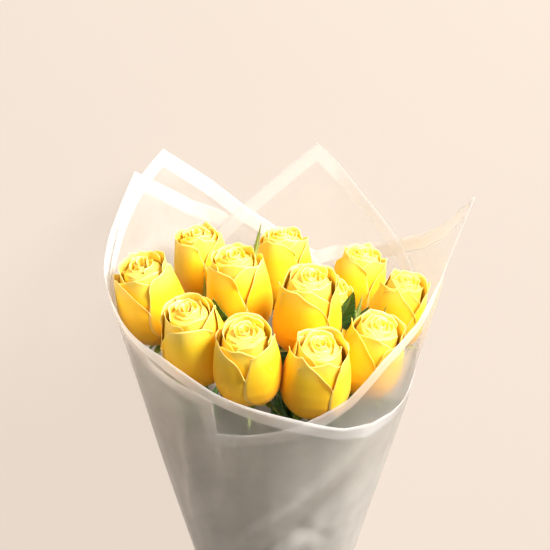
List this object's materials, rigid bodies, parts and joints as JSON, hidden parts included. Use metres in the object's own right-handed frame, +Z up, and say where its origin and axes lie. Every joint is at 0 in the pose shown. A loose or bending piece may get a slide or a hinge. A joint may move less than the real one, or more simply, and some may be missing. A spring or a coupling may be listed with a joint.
{
  "type": "bunch of roses",
  "caption": "Florist's bunch of long-stemmed yellow roses in frosted film with white edges, tied with a ribbon, lying on its back.",
  "frame": {"origin": "middle of the bunch's footprint, on the surface that it lies on", "axes": "+Y along the stems towards the blooms, +Z up, +X to the right of the bunch seen from above"},
  "size_m": [0.2944, 0.5906, 0.2358],
  "materials": {
    "petal": "soft matte",
    "sepal": "matte",
    "stem": "smooth",
    "leaf": "semi-gloss",
    "film": "frosted, translucent, with an opaque white edge",
    "ribbon": "satin",
    "twine": "matte"
  },
  "bodies": {
    "root": {"rose_01_bloom": "petal", "rose_01_calyx": "sepal", "rose_01_stem": "stem", "rose_01_leaf": "leaf", "rose_02_bloom": "petal", "rose_02_calyx": "sepal", "rose_02_stem": "stem", "rose_02_leaf": "leaf", "rose_03_bloom": "petal", "rose_03_calyx": "sepal", "rose_03_stem": "stem", "rose_03_leaf": "leaf", "rose_04_bloom": "petal", "rose_04_calyx": "sepal", "rose_04_stem": "stem", "rose_04_leaf": "leaf", "rose_05_bloom": "petal", "rose_05_calyx": "sepal", "rose_05_stem": "stem", "rose_05_leaf": "leaf", "rose_06_bloom": "petal", "rose_06_calyx": "sepal", "rose_06_stem": "stem", "rose_06_leaf": "leaf", "rose_07_bloom": "petal", "rose_07_calyx": "sepal", "rose_07_stem": "stem", "rose_07_leaf": "leaf", "rose_08_bloom": "petal", "rose_08_calyx": "sepal", "rose_08_stem": "stem", "rose_08_leaf": "leaf", "rose_09_bloom": "petal", "rose_09_calyx": "sepal", "rose_09_stem": "stem", "rose_09_leaf": "leaf", "rose_10_bloom": "petal", "rose_10_calyx": "sepal", "rose_10_stem": "stem", "rose_10_leaf": "leaf", "rose_11_bloom": "petal", "rose_11_calyx": "sepal", "rose_11_stem": "stem", "rose_11_leaf": "leaf", "rose_12_bloom": "petal", "rose_12_calyx": "sepal", "rose_12_stem": "stem", "rose_12_leaf": "leaf", "stem_band": "twine", "wrap_sheet_back": "film", "wrap_sheet_inner_left": "film", "wrap_sheet_right": "film", "wrap_sheet_left": "film", "ribbon_band": "ribbon"}
  },
  "joints": []
}
